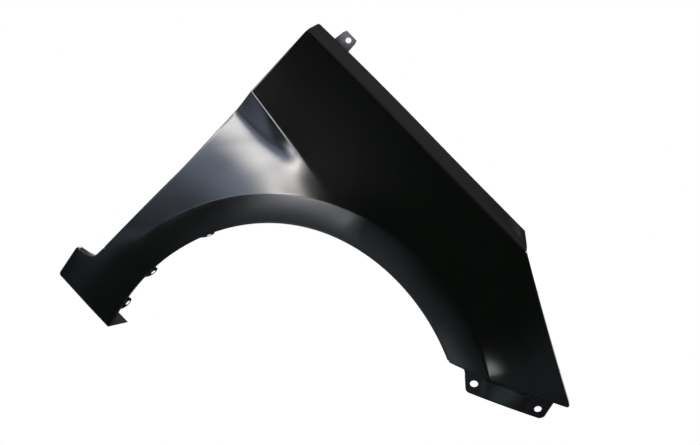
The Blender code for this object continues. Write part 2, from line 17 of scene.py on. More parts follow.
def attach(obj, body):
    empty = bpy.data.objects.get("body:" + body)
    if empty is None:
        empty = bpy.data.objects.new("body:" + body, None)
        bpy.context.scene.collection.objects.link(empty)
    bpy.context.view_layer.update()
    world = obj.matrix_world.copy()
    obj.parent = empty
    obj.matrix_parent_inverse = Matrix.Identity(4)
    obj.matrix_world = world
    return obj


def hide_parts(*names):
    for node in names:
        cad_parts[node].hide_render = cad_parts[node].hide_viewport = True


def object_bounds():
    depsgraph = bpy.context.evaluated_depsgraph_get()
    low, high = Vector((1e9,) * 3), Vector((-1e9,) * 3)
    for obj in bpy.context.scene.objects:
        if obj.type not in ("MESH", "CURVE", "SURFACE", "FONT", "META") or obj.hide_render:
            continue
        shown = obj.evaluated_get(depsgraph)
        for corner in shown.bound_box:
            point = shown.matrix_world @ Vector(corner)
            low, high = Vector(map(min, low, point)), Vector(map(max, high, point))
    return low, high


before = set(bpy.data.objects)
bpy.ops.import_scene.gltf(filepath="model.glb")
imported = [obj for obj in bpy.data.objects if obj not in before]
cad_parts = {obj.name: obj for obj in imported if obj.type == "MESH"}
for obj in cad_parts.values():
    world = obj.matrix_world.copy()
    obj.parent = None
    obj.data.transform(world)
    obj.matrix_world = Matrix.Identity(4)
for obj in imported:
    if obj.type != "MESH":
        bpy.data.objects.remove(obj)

cad_low, cad_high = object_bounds()
print("nodes:", sorted(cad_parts))
print("solid model from", [round(v, 3) for v in cad_low], "to", [round(v, 3) for v in cad_high])

# %% [markdown]
# ## The sizes of the pressing
# A fender is drawn from a few lines: the wheel opening, the crease of the flare round it, the door edge,
# the shoulder, the headlamp edge and the nose. All of them are measured here from the wheel centre, in
# metres, with +X to the front of the car, +Y inboard and +Z up. The solid model was made from the same
# lines, so the fine sheet lands on it within a few millimetres. Only small things are set anew after the
# photograph, such as the tightness of a bend or the width of a hole. The alternative, smoothing the coarse
# mesh, would pull the creases flat.

# %% Sizes of the sheet and its lines
# Sheet
sheet_thickness = 0.0008
bend_radius = 0.003
weld_gap = 0.0003
cut_overrun = 0.006
tight_radius = 0.0012  # the bends that show; bend_radius is the room that they may take up

# Wheel opening: an arc of a large ellipse that leans back
arch_centre = (0.0843, -0.1205)
arch_half_length = 0.4925
arch_half_width = 0.3901
arch_lean_deg = -53.4
arch_lip_width = 0.009

# Flare round the wheel opening
flare_radius = 0.404
flare_proud = 0.0102
flare_fillet_width = 0.076
flare_face_bulge = 0.0007
flare_crease_blend = 0.0005
flare_widening_power = 1.3
flare_crisp_degs = (124.0, 144.0)  # between these angles the crease gets sharper towards the rear
flare_crisp_share = 0.06

# Body section: crown up the side, and the turn-in towards the front of the car
widest_height = 0.150
upper_crown_radius = 1.300
lower_crown_radius = 2.500
turn_in_start = -0.150
turn_in_radius = 0.850

# Toe behind the wheel, and the notch for the door hinge
sill_height = -0.1645
toe_rear_x = -0.4742
toe_top_x = -0.4850
toe_top_height = -0.0915
notch_corner_height = -0.0820
door_edge_foot_height = -0.0480

# Door edge, character line and shoulder
door_edge_x = -0.4450
door_edge_straight_height = 0.180
door_edge_top_setback = 0.0248
door_edge_curve_power = 1.2
character_line_height = 0.3876
shoulder_height = 0.5498
shoulder_rear_height = shoulder_height - 0.0073
shoulder_front_x = 0.1345

# Scoop pressed in below the character line
scoop_depth = 0.0345
scoop_wall_width = 0.060
scoop_run_width = 0.430
scoop_run_power = 1.2
scoop_length = 0.160
scoop_nose_softness_share = 0.27
scoop_wall_power = 0.65
scoop_skew_share = 0.345
scoop_valley_blend = 0.0053
scoop_crease_clearance = 0.100
character_line_round = 0.0028

# Above the character line the skin leans in a little, most of all at the door edge
door_lean_slope = 0.065
door_lean_run = 0.055
door_lean_end_x = -0.150
door_lean_fade = 0.220

# Nose of the panel
nose_tip_x = 0.4497
nose_tip_height = 0.3720
nose_crease_x = 0.2770

# Shoulder strip, bonnet gap and top flange
shoulder_crease_reach = 0.005
shoulder_crown = 0.0018
shoulder_bend_run = 0.022
strip_inboard = 0.035
strip_rise = 0.0245
strip_end_fall = 0.0040
strip_front_setback = 0.0330
strip_front_reach = 0.0032
strip_front_fade = 0.08
strip_rim_share = 0.7
strip_row_shares = (0.04, 0.35, 0.65, 0.96)
strip_corner_radius = 0.008
strip_corner_shift = (0.0048, 0.0, 0.0014)
gap_wall_inboard = 0.004
top_flange_drop = 0.0058
top_flange_width = 0.026
top_hole_diameter = 0.009
top_hole_inset = 0.013

# Flanges on the other edges
door_flange_width = 0.014
headlight_flange_width = 0.016
notch_flange_width = 0.013
nose_fold_width = 0.010
sill_flange_width = 0.042
sill_flange_rise_deg = 28.0
sill_flange_flare = 0.018
sill_hole_width_share = 0.6
flange_row_shares = (0.3, 0.65, 1.0)
corner_relief = 0.006
relief_run = 0.020
flange_hole_diameter = 0.007
sill_hole_diameter = 0.009

# Liner ears on the arch lip
ear_length = 0.0190
ear_half_width = 0.0150
ear_hole_diameter = 0.0105
ear_root = 0.0012
ear_rim = 0.0023
# angle round the opening, and lean towards the wheel, in degrees
ears = ((197.2, 17.0), (182.5, 17.0), (158.2, 17.0), (128.0, 5.0), (98.0, 5.0), (70.0, 5.0))

# Bumper bracket
bracket_thickness = 0.0012
bumper_top_xs = (0.2195, 0.4190)
bumper_foot_xs = (0.2600, 0.4320)
bumper_foot_drops = (0.0545, 0.0550)
bumper_corner_radius = 0.008
bumper_rear_corner_radius = 0.013
bumper_clearance = 0.0010
bumper_ledge = 0.008
bumper_hole_height = 0.0147
bumper_hole_length = 0.0195
bumper_hole_places = ((0.2662, 0.0323), (0.4079, 0.0357))  # forward, and down from the nose's edge
bumper_pad_depth = 0.003
bumper_pad_span_shares = (0.20, 0.76)
bumper_pad_fall_shares = (0.16, 1.0)
bumper_pad_edge_share = 0.07

# Rear top bracket
top_bracket_x = -0.4090
top_bracket_foot_width = 0.038
top_bracket_head_width = 0.034
top_bracket_height = 0.0410
top_bracket_lean = 0.009
top_bracket_foot_length = 0.015
top_bracket_hole_diameter = 0.0112
top_bracket_hole_shift = 0.0023
top_bracket_hole_height = 0.030
top_bracket_taper_shares = (0.20, 0.80)
top_bracket_coin_share = 0.86
top_bracket_coin_ramp = 0.04
top_bracket_coin_depth = 0.0006

# Stations round the panel: where each line across the skin leaves the arch and crosses the flare
toe_top_degs = (196.0, 196.0)
door_foot_degs = (187.0, 187.0)
character_degs = (113.0, 117.0)
apex_degs = (101.0, 103.0)
shoulder_front_degs = (73.0, 70.0)
nose_foot_deg = 56.8

# Flare height round the opening, as angle in degrees and share of its full height
flare_share_degs = (50.0, 62.0, 84.0, 108.0, 150.0, 184.0)
flare_height_shares = (1.18, 0.78, 0.60, 1.0, 0.54, 0.0)

# Holes along the flanges, as shares of the stretch that carries them
top_hole_shares = (0.20, 0.45, 0.70, 0.92)
door_hole_shares = (0.12, 0.55)
headlight_hole_shares = (0.25, 0.75)
sill_hole_shares = (0.30, 0.72)

# Middle of the bolting seat, as a share of the shoulder's length
seat_share = 0.575

# Fineness of round and repeated forms
hole_sides = 48
ear_sides = 28
bumper_columns = 73
top_bracket_columns = 25
column_parts = 4
row_parts = 4
bend_shares = np.linspace(0.0, 1.0, 6)  # five steps round every bend
sharp_angle_deg = 35.0
share_step = 0.001

FORWARD = np.array([1.0, 0.0, 0.0])
INBOARD = np.array([0.0, 1.0, 0.0])
UP = np.array([0.0, 0.0, 1.0])
print("opening: %.0f by %.0f mm half axes" % (1000 * arch_half_length, 1000 * arch_half_width))

# %% [markdown]
# ## Lines in the side view
# Each line is a function that takes a share from 0 to 1 and gives a point in the side view. The wheel
# opening is part of a large ellipse that leans back, because the real one is not a circle: it opens up
# towards the bumper.

# %% Small helpers
def direction(angle):
    return np.array([math.cos(angle), math.sin(angle)])


def smooth(value):
    """0 below 0, 1 above 1, and an even ease between."""
    value = np.clip(value, 0.0, 1.0)
    return value * value * (3 - 2 * value)


def mix(start, end, share):
    return start + (end - start) * share


def soft_higher(a, b, blend):
    """The higher of two values, with a round change from one to the other."""
    return (a + b + np.sqrt((a - b) ** 2 + blend**2)) / 2


def soft_lower(a, b, blend):
    """The lower of two values, with the same round change."""
    return -soft_higher(-a, -b, blend)


def rounded_ramp(value, reach):
    """0 below zero and the value itself above, rounded over this reach on both sides."""
    rounded = (value + reach) ** 2 / (4 * reach)
    return np.where(value < -reach, 0.0, np.where(value > reach, value, rounded))


def plateau(value, span, edge):
    """1 inside the span and 0 outside it, with soft edges inside."""
    return smooth((value - span[0]) / edge) * smooth((span[1] - value) / edge)


def unit(vectors):
    return vectors / np.linalg.norm(vectors, axis=-1, keepdims=True)


def in_space(flat):
    """A direction in the side view, as a direction in space."""
    flat = np.array(flat)
    return np.stack([flat[..., 0], np.zeros(flat.shape[:-1]), flat[..., 1]], axis=-1)


def turned(start, towards, degrees):
    """A direction turned by this angle towards another one that is square to it."""
    angle = math.radians(degrees)
    return math.cos(angle) * start + math.sin(angle) * towards


def bezier(points, share):
    """A point on the curve that these handles draw."""
    points = [np.array(point) for point in points]
    while len(points) > 1:
        points = [mix(a, b, share) for a, b in zip(points, points[1:])]
    return points[0]


# %% Wheel opening, crease and nose
def arch_radius(angle):
    """Distance from the wheel centre to the leaning ellipse of the wheel opening."""
    lean = math.radians(arch_lean_deg)
    ray_along = np.cos(angle - lean) / arch_half_length
    ray_across = np.sin(angle - lean) / arch_half_width
    mid_along = direction(lean) @ arch_centre / arch_half_length
    mid_across = direction(lean + math.pi / 2) @ arch_centre / arch_half_width
    a = ray_along**2 + ray_across**2
    b = ray_along * mid_along + ray_across * mid_across
    c = mid_along**2 + mid_across**2 - 1
    return (b + np.sqrt(b * b - a * c)) / a


def skin_start_radius(angle):
    """Where the skin ends and the bend of the arch lip begins."""
    return arch_radius(angle) + bend_radius


def angle_at_height(radius_of, height):
    """Angle behind the wheel centre at which a curve round it comes down to this height."""
    above, below = math.pi / 2, 3 * math.pi / 2
    for _ in range(50):
        middle = (above + below) / 2
        if radius_of(middle) * math.sin(middle) > height:
            above = middle
        else:
            below = middle
    return above


def nose_line(x):
    """Height of the nose's lower edge, straight from the wheel opening to the tip."""
    angle = math.radians(nose_foot_deg)
    foot = direction(angle) * skin_start_radius(angle)
    tip = set_back(headlight_edge, 1.0)[0]
    return foot[1] + (tip[1] - foot[1]) * (x - foot[0]) / (tip[0] - foot[0])


def crease_radius(angle):
    """Distance from the wheel centre to the flare's crease: round, and wider at the nose."""
    nose_height = nose_line(nose_crease_x)
    nose_angle = math.atan2(nose_height, nose_crease_x)
    widening = math.hypot(nose_crease_x, nose_height) - flare_radius
    round_end = math.radians(shoulder_front_degs[1])
    share = np.clip((round_end - angle) / (round_end - nose_angle), 0.0, None)
    return flare_radius + widening * share**flare_widening_power


# %% Outline of the panel
def door_line_x(height):
    """The door edge stands upright below and leans back above."""
    span = shoulder_rear_height - door_edge_straight_height
    share = np.clip((height - door_edge_straight_height) / span, 0.0, None)
    return door_edge_x - door_edge_top_setback * share**door_edge_curve_power


def toe_edge(share):
    foot = np.array([toe_rear_x, sill_height + bend_radius])
    return mix(foot, np.array([toe_top_x, toe_top_height]), share)


def notch_edge(share):
    corner = (door_edge_x, notch_corner_height)
    foot = (door_edge_x, door_edge_foot_height)
    return bezier([(toe_top_x, toe_top_height), corner, corner, foot], share)


def door_low_edge(share):
    height = mix(door_edge_foot_height, character_line_height, share)
    return np.array([door_line_x(height), height])


def door_high_edge(share):
    height = mix(character_line_height, shoulder_rear_height, share)
    return np.array([door_line_x(height), height])


def shoulder_edge(share):
    rear_x = door_line_x(shoulder_rear_height)
    height = mix(shoulder_height, shoulder_rear_height, (1 - share) ** 2)
    return np.array([mix(rear_x, shoulder_front_x, share), height])


def headlight_edge(share):
    top = np.array([shoulder_front_x, shoulder_height])
    return mix(top, np.array([nose_tip_x, nose_tip_height]), share)


def set_back(edge, share):
    """The edge point moved in by the bend radius, with the outward direction there."""
    tangent = edge(min(share + share_step, 1.0)) - edge(max(share - share_step, 0.0))
    outward = unit(np.array([-tangent[1], tangent[0]]))
    return edge(share) - bend_radius * outward, outward


print("wheel opening: %.0f mm above the wheel centre" % (1000 * arch_radius(math.pi / 2)))

# %% [markdown]
# ## The skin as a depth over the side view
# A pressed panel has no undercut in its outer face, so one number for each point of the side view says it
# all: how far inboard the skin lies. Three depths are added: the crown of the body, the flare that stands
# proud round the wheel, and the scoop pressed in below the character line. Where two faces meet, a soft
# maximum or minimum rounds the crease as the press tool does.

# %% Depth of the skin
def flare_offset(x, z):
    """How far the flare stands out from the body's own section, as a negative depth."""
    angle = np.arctan2(z, x) % (2 * math.pi)
    radius = np.hypot(x, z)
    crease, edge = crease_radius(angle), arch_radius(angle)
    height = flare_proud * np.interp(angle, np.radians(flare_share_degs), flare_height_shares)
    across = (radius - edge) / (crease - edge)
    bulge = flare_face_bulge * 4 * across * np.clip(1 - across, 0.0, None)
    beyond = np.clip((radius - crease) / flare_fillet_width, None, 1.0)
    crisp = smooth((np.degrees(angle) - flare_crisp_degs[0]) / (flare_crisp_degs[1] - flare_crisp_degs[0]))
    blend = flare_crease_blend * mix(1.0, flare_crisp_share, crisp)
    return soft_higher(-height * across - bulge, -height * (1 - beyond) ** 2, blend)


def scoop_offset(x, z):
    """Depth of the pressed scoop, a wall below the character line and a long floor, and the lean above."""
    rear = np.array([door_line_x(character_line_height), character_line_height])
    crossing = math.radians(character_degs[1])
    line = unit(direction(crossing) * crease_radius(crossing) - rear)
    along = (x - rear[0]) * line[0] + (z - rear[1]) * line[1]
    across = (x - rear[0]) * line[1] - (z - rear[1]) * line[0]
    below = rounded_ramp(across, character_line_round)
    above = rounded_ramp(-across, character_line_round)
    lean = door_lean_slope * door_lean_run * (1 - np.exp(-above / door_lean_run))
    lean *= smooth((door_lean_end_x - x) / door_lean_fade)
    reach = soft_higher(0.0, 1 - along / scoop_length, scoop_nose_softness_share)
    skewed_along = along + scoop_skew_share * below
    skewed_reach = soft_higher(0.0, 1 - skewed_along / scoop_length, scoop_nose_softness_share)
    floor = scoop_depth * skewed_reach * np.clip(1 - below / scoop_run_width, 0.0, 1.0) ** scoop_run_power
    wall = scoop_depth / scoop_wall_width * below * reach**scoop_wall_power
    depth = soft_lower(wall, floor, scoop_valley_blend) - soft_lower(0.0, floor, scoop_valley_blend)
    crease = crease_radius(np.arctan2(z, x) % (2 * math.pi))
    return depth * smooth((np.hypot(x, z) - crease) / scoop_crease_clearance) + lean


def body_depth(x, z):
    """Depth of the plain body section: upright crown and turn-in."""
    rise = z - widest_height
    crown_radius = np.where(rise > 0, upper_crown_radius, lower_crown_radius)
    turn = np.clip(x - turn_in_start, 0.0, None)
    return rise**2 / (2 * crown_radius) + turn**2 / (2 * turn_in_radius)


def skin_depth(x, z):
    return body_depth(x, z) + flare_offset(x, z) + scoop_offset(x, z)


def on_skin(x, z):
    """The skin's point at this place in the side view."""
    return np.stack([x, skin_depth(x, z), z], axis=-1)


print("depth of the scoop at the door edge: %.1f mm" % (1000 * float(scoop_offset(door_edge_x, 0.31))))

# %% [markdown]
# ## A fine grid over the skin
# Lines run across the skin from the wheel opening to the outer edge, like the ribs of a fan. They cross the
# crease of the flare in one row of points, so the crease never cuts through a face. Each table below says
# where the lines stand, from 0 at the start of a stretch to 1 at its end, closer where the sheet bends. Then
# every step is divided again: light runs along the gloss in narrow bands, and a band shows a facet at once.

# %% Steps of the grid
def refine(shares, parts):
    """Every step of the table divided into equal parts."""
    fine = [mix(a, b, part / parts) for a, b in zip(shares, shares[1:]) for part in range(parts)]
    return tuple(fine) + (shares[-1],)


# where the lines across the skin end, along each stretch of the panel's outline
column_shares = {
    "toe": (0.0, 0.35, 0.70, 1.0),
    "notch": (0.0, 0.20, 0.35, 0.50, 0.65, 0.80, 1.0),
    "door_low": (
        0.0, 0.08, 0.17, 0.26, 0.35, 0.44, 0.52, 0.60, 0.67, 0.73, 0.79, 0.84, 0.88, 0.92, 0.95, 0.975,
        0.992, 1.0,
    ),
    "door_high": (0.0, 0.012, 0.05, 0.18, 0.38, 0.60, 0.82, 0.94, 1.0),
    "shoulder": (0.0, 0.015, 0.05) + tuple(step / 20 for step in range(2, 21)),
    "headlight": (0.0, 0.04, 0.12, 0.22, 0.33, 0.44, 0.55, 0.65, 0.74, 0.82, 0.89, 0.95, 1.0),
}
# how far the points of one line stand across the flare, and from its crease to the outer edge
flare_row_shares = refine((0.0, 0.08, 0.25, 0.50, 0.75, 0.92, 0.975, 1.0), row_parts)
body_row_shares = refine(
    (0.0, 0.01, 0.03, 0.08, 0.14, 0.21, 0.30, 0.41, 0.53, 0.65, 0.77, 0.87, 0.95, 1.0), row_parts)
print("rows across the skin:", len(flare_row_shares) + len(body_row_shares) - 1)

# %% Grid of the skin
def skin_columns():
    """One entry for each line across the skin: the stretch it ends on, its share there and its ends."""
    sill_arch = math.degrees(angle_at_height(skin_start_radius, sill_height + bend_radius))
    sill_crease = math.degrees(angle_at_height(crease_radius, sill_height + bend_radius))
    nose_crease = math.degrees(math.atan2(nose_line(nose_crease_x), nose_crease_x))
    stations = [
        ("toe", toe_edge, (sill_arch, sill_crease)),
        ("notch", notch_edge, toe_top_degs),
        ("door_low", door_low_edge, door_foot_degs),
        ("door_high", door_high_edge, character_degs),
        ("shoulder", shoulder_edge, apex_degs),
        ("headlight", headlight_edge, shoulder_front_degs),
    ]
    end_degs = [station[2] for station in stations[1:]] + [(nose_foot_deg, nose_crease)]
    columns = []
    for (name, edge, start), end in zip(stations, end_degs):
        shares = refine(column_shares[name], column_parts)
        for share in shares if name == "toe" else shares[1:]:
            arch_angle = math.radians(mix(start[0], end[0], share))
            crease_angle = math.radians(mix(start[1], end[1], share))
            columns.append((name, edge, share, arch_angle, crease_angle))
    return columns


def skin_grid(columns):
    """Points of the skin, by column round the panel and by row from the arch to the outer edge."""
    grid = []
    for name, edge, share, arch_angle, crease_angle in columns:
        start = direction(arch_angle) * skin_start_radius(arch_angle)
        middle = direction(crease_angle) * crease_radius(crease_angle)
        end = set_back(edge, share)[0]
        if name == "shoulder":
            end = edge(share) - shoulder_crease_reach * unit(edge(share) - middle)
        flat = [mix(start, middle, row) for row in flare_row_shares]
        flat += [mix(middle, end, row) for row in body_row_shares[1:]]
        grid.append(flat)
    grid = np.array(grid)
    return on_skin(grid[..., 0], grid[..., 1])


def stretch(columns, first, last):
    """The columns from the start of one stretch of the outline to the end of another."""
    names = [column[0] for column in columns]
    return slice(max(names.index(first) - 1, 0), len(names) - names[::-1].index(last))


def outward_along(columns):
    """Outward directions along one stretch, which begins where the stretch before it ends."""
    places = [(columns[1][1], 0.0)] + [(column[1], column[2]) for column in columns[1:]]
    return in_space([set_back(edge, share)[1] for edge, share in places])


# %% [markdown]
# ## Flanges folded off the edges
# Every edge of a real fender is folded: it stiffens the sheet and gives the bolts something to hold. A fold
# is a tight quarter turn and then a flat. The mesh takes several rows round the quarter turn, because this
# narrow bend is what draws the thin bright line along an edge.

# %% A sheet that grows row by row
class Sheet:
    """Collects rows of points as one open surface."""

    def __init__(self):
        self.mesh = bmesh.new()

    def row(self, points):
        return [self.mesh.verts.new(point) for point in points]

    def fill(self, first, second):
        """Faces between two rows of points."""
        for a, b, c, d in zip(first, first[1:], second[1:], second):
            self.mesh.faces.new([a, b, c, d])

    def rows(self, verts, shapes, flip=False):
        """Adds rows of points one after another to an edge that is there."""
        for points in shapes:
            after = self.row(points)
            self.fill(*((after, verts) if flip else (verts, after)))
            verts = after


def sheet_mesh(rows, flip=False):
    """A sheet of its own from rows of points."""
    sheet = Sheet()
    sheet.rows(sheet.row(rows[0]), rows[1:], flip)
    return sheet.mesh


def folded_edge(sheet, verts, outward, fold, width, flip=False, notched=(True, True)):
    """Folds a flange off an edge of the skin, with its ends pulled in where they leave a notch."""
    points = np.array([vert.co for vert in verts])
    tangents = unit(np.gradient(points, axis=0))
    walked = np.concatenate([[0.0], np.cumsum(np.linalg.norm(np.diff(points, axis=0), axis=1))])
    to_start = np.clip(1 - walked / relief_run, 0.0, 1.0)[:, None] ** 2 * notched[0]
    to_end = np.clip(1 - (walked[-1] - walked) / relief_run, 0.0, 1.0)[:, None] ** 2 * notched[1]
    ends = tangents * corner_relief * (to_start - to_end)
    flat = bend_radius - tight_radius
    shapes = [points + flat * outward]
    for share in bend_shares[1:]:
        turn = math.pi / 2 * share
        bend = (flat + tight_radius * math.sin(turn)) * outward + tight_radius * (1 - math.cos(turn)) * fold
        shapes.append(points + bend + ends * smooth(share))
    foot = shapes[-1]
    shapes += [foot + fold * (width + flat) * reach for reach in flange_row_shares]
    sheet.rows(verts, shapes, flip)


# %% Shoulder strip, bonnet gap and top flange
def shoulder_points(shares):
    """Points on the skin's shoulder crease at these shares of its length."""
    flat = np.array([shoulder_edge(share) for share in shares])
    return on_skin(flat[:, 0], flat[:, 1])


def shoulder_strip(crease, shares):
    """The far edge of the strip that runs along the shoulder crease."""
    edge = crease + np.stack([
        -strip_front_setback * smooth(2 * shares - 1),
        np.full(len(shares), strip_inboard),
        strip_rise - strip_end_fall * (2 * shares - 1) ** 2,
    ], axis=-1)
    from_end = (crease[:, 0] - crease[0, 0]) / strip_corner_radius if len(shares) > 1 else np.ones(1)
    corner = 1 - np.sqrt(1 - np.clip(1 - from_end, 0.0, 1.0) ** 2)
    edge -= corner[:, None] * strip_corner_radius * (INBOARD + UP / 2)
    edge += corner[:, None] * np.array(strip_corner_shift)
    return edge


def flange_line(edge):
    """Where the top flange starts, beyond the strip's far edge and the wall of the bonnet gap."""
    start = edge + (2 * bend_radius + gap_wall_inboard) * INBOARD
    start[:, 2] = shoulder_height - top_flange_drop
    return start


def corner_rows(before, corner, after, reach):
    """Rows that round a corner, starting and ending this far from it."""
    start = corner - unit(corner - before) * reach
    end = corner + unit(after - corner) * reach
    return [bezier([start, corner, end], share) for share in bend_shares]


def shoulder_shapes(skin_end, shares):
    """Rows beyond the skin: rounded crease, strip, wall of the bonnet gap and top flange."""
    crease = shoulder_points(shares)
    crease[shares == 1] += strip_front_reach * FORWARD
    edge = shoulder_strip(crease, shares)
    start = flange_line(edge)
    end = start + (top_flange_width - bend_radius) * INBOARD
    wall_foot = start - bend_radius * INBOARD
    wall_top = edge + bend_radius * INBOARD
    raised = shoulder_crown * smooth((1 - shares[:, None]) / strip_front_fade)
    crease += raised * unit(crease - skin_end)
    rim = mix(edge, wall_top, strip_rim_share)
    across = unit(rim - crease)
    strip_start = crease + across * shoulder_bend_run
    rows = [bezier([skin_end, crease, strip_start], share) for share in bend_shares[1:]]
    rows += [mix(strip_start, rim - across * bend_radius, share) for share in strip_row_shares]
    rows += corner_rows(crease, rim, wall_foot, bend_radius)
    rows += corner_rows(wall_top, wall_foot, end, bend_radius)
    rows += [mix(start, end, share) for share in (0.5, 1.0)]
    return rows


# %% Panel as one open surface
sill_fold = turned(INBOARD, UP, sill_flange_rise_deg)


def make_panel_mesh():
    """The skin with every flange folded off it, as one open surface facing outward."""
    columns = skin_columns()
    grid = skin_grid(columns)
    sheet = Sheet()
    verts = [sheet.row(column) for column in grid]
    for left, right in zip(verts, verts[1:]):
        sheet.fill(right, left)
    outer = [column[-1] for column in verts]

    for first, last, width in (
        ("toe", "toe", notch_flange_width),
        ("notch", "notch", notch_flange_width),
        ("door_low", "door_high", door_flange_width),
        ("headlight", "headlight", headlight_flange_width),
    ):
        part = stretch(columns, first, last)
        notched = (first not in ("notch", "headlight"), True)
        folded_edge(sheet, outer[part], outward_along(columns[part]), INBOARD, width, notched=notched)

    part = stretch(columns, "shoulder", "shoulder")
    shares = np.array([0.0] + [column[2] for column in columns[part][1:]])
    sheet.rows(outer[part], shoulder_shapes(grid[part, -1], shares))

    lip = [column[0] for column in verts[1:-1]]
    inward = in_space([-direction(column[3]) for column in columns[1:-1]])
    folded_edge(sheet, lip, inward, INBOARD, arch_lip_width, flip=True)

    along = unit(grid[-1, -1] - grid[-1, 0])
    below = unit(np.array([along[2], 0.0, -along[0]]))
    folded_edge(sheet, verts[-1], below, INBOARD, nose_fold_width, flip=True)

    towards_arch = np.linspace(1.0, 0.0, len(verts[0]))[:, None] ** 2
    forward = towards_arch * sill_flange_flare / sill_flange_width * FORWARD
    folded_edge(sheet, verts[0], -UP, sill_fold + forward, sill_flange_width, notched=(False, True))
    return sheet.mesh


# %% [markdown]
# ## Ears for the liner clips, and holes
# Half-moon ears stand off the lip of the wheel opening, and the plastic liner is clipped to them. They are
# cut from the same sheet, so they are joined to it. Holes are round cutters that go right through.

# %% Places on the flanges and the lip
def top_flange_points(shares):
    """Points on the top flange, along the line of its bolt holes."""
    shares = np.array(shares)
    return flange_line(shoulder_strip(shoulder_points(shares), shares)) + top_hole_inset * INBOARD


def placement(origin, x_axis, y_axis):
    """Matrix that puts a thing at this origin with its own X and Y along two square directions."""
    axes = Matrix((Vector(x_axis), Vector(y_axis), Vector(np.cross(x_axis, y_axis))))
    return Matrix.Translation(Vector(origin)) @ axes.transposed().to_4x4()


def ear_place(angle_deg, lean_deg):
    """Middle of an ear's root, and three directions: the ear's reach, along the lip and to the centre."""
    angle = math.radians(angle_deg)
    radial = in_space(direction(angle))
    root = direction(angle) * skin_start_radius(angle)
    depth = skin_depth(*root) + bend_radius + arch_lip_width
    edge = radial * arch_radius(angle) + depth * INBOARD
    step = math.radians(1.0)
    beyond = in_space(direction(angle + step)) * arch_radius(angle + step)
    along = unit(beyond - radial * arch_radius(angle))
    return edge, turned(INBOARD, -radial, lean_deg), along, -radial


# %% Ears
def panel_ears():
    """Half-moon plates that grow out of the lip."""
    mesh = bmesh.new()
    for angle, lean in ears:
        edge, reach, along, towards_centre = ear_place(angle, lean)
        thick = unit(np.cross(along, reach))
        thick = thick * sheet_thickness * (-1 if thick @ towards_centre > 0 else 1)
        outline = [edge - reach * ear_root + along * ear_half_width]
        outline += [
            edge + along * ear_half_width * math.cos(turn) + reach * ear_length * math.sin(turn)
            for turn in np.linspace(0.0, math.pi, ear_sides + 1)
        ]
        outline += [edge - reach * ear_root - along * ear_half_width]
        face = mesh.faces.new([mesh.verts.new(point) for point in outline])
        made = bmesh.ops.extrude_face_region(mesh, geom=[face])["geom"]
        moved = [item for item in made if isinstance(item, bmesh.types.BMVert)]
        bmesh.ops.translate(mesh, verts=moved, vec=Vector(thick))
    bmesh.ops.recalc_face_normals(mesh, faces=mesh.faces)
    return mesh


print("ears:", len(ears))

# %% Holes
def drill(mesh, place, axis, diameter, length=None):
    """Adds one cutter through a sheet: round, or longer one way where a length is given."""
    aside = FORWARD if abs(axis[0]) < 0.9 else INBOARD
    side = unit(np.cross(axis, aside))
    drawn_out = Matrix.Scale((length or diameter) / diameter, 4, (0.0, 1.0, 0.0))
    bmesh.ops.create_cone(
        mesh, cap_ends=True, segments=hole_sides, radius1=diameter / 2, radius2=diameter / 2,
        depth=2 * cut_overrun, matrix=placement(place, side, np.cross(unit(axis), side)) @ drawn_out,
    )


def panel_holes():
    """Round cutters for every hole in the panel."""
    mesh = bmesh.new()
    for point in top_flange_points(top_hole_shares):
        drill(mesh, point, UP, top_hole_diameter)
    for angle, lean in ears:
        edge, reach, along, _ = ear_place(angle, lean)
        centre = edge + reach * (ear_length - ear_rim - ear_hole_diameter / 2)
        drill(mesh, centre, np.cross(along, reach), ear_hole_diameter)
    for edge, shares, width in (
        (door_low_edge, door_hole_shares, door_flange_width),
        (headlight_edge, headlight_hole_shares, headlight_flange_width),
    ):
        for share in shares:
            place, outward = set_back(edge, share)
            outward = in_space(outward)
            centre = on_skin(*place) + (bend_radius + width / 2) * INBOARD + bend_radius * outward
            drill(mesh, centre, outward, flange_hole_diameter)
    front = angle_at_height(skin_start_radius, sill_height + bend_radius)
    front_x = skin_start_radius(front) * math.cos(front)
    for share in sill_hole_shares:
        x = mix(front_x, toe_rear_x, share)
        start = on_skin(x, sill_height + bend_radius) + bend_radius * (INBOARD - UP)
        centre = start + sill_fold * sill_flange_width * sill_hole_width_share
        drill(mesh, centre, np.cross(sill_fold, FORWARD), sill_hole_diameter)
    return mesh


# %% [markdown]
# ## The two brackets
# The bumper bracket is a small pressing of thicker steel, spot-welded behind the nose, with a raised pad
# between its two holes. The rear top bracket is a bent tongue with one hole and a coined free edge. Both
# follow the solid model's lines, with more steps in their bends.

# %% Bumper bracket
bumper_row_shares = refine((0.06, 0.12, 0.22, 0.34, 0.50, 0.66, 0.78, 0.90, 1.0), row_parts)


def plate_depth(x):
    """Depth of the bumper bracket's plate, which hangs clear of the nose's fold."""
    fold_reach = bend_radius + nose_fold_width
    return body_depth(x, nose_line(x)) + fold_reach + bumper_clearance + bend_radius


def bumper_point(share, fall):
    """A point of the plate, by its shares of the way along it and down from its top."""
    x = mix(mix(*bumper_top_xs, share), mix(*bumper_foot_xs, share), fall)
    foot_length = bumper_foot_xs[1] - bumper_foot_xs[0]
    radius = bumper_rear_corner_radius if share < 0.5 else bumper_corner_radius
    short_of_corner = 1 - min(min(share, 1 - share) * foot_length / radius, 1.0)
    corner = radius * (1 - math.sqrt(1 - short_of_corner**2))
    drop = mix(*bumper_foot_drops, share) - corner
    pad = plateau(share, bumper_pad_span_shares, bumper_pad_edge_share)
    pad *= plateau(fall, bumper_pad_fall_shares, bumper_pad_edge_share)
    return np.array([x, plate_depth(x) - bumper_pad_depth * pad, nose_line(x) - fall * drop])


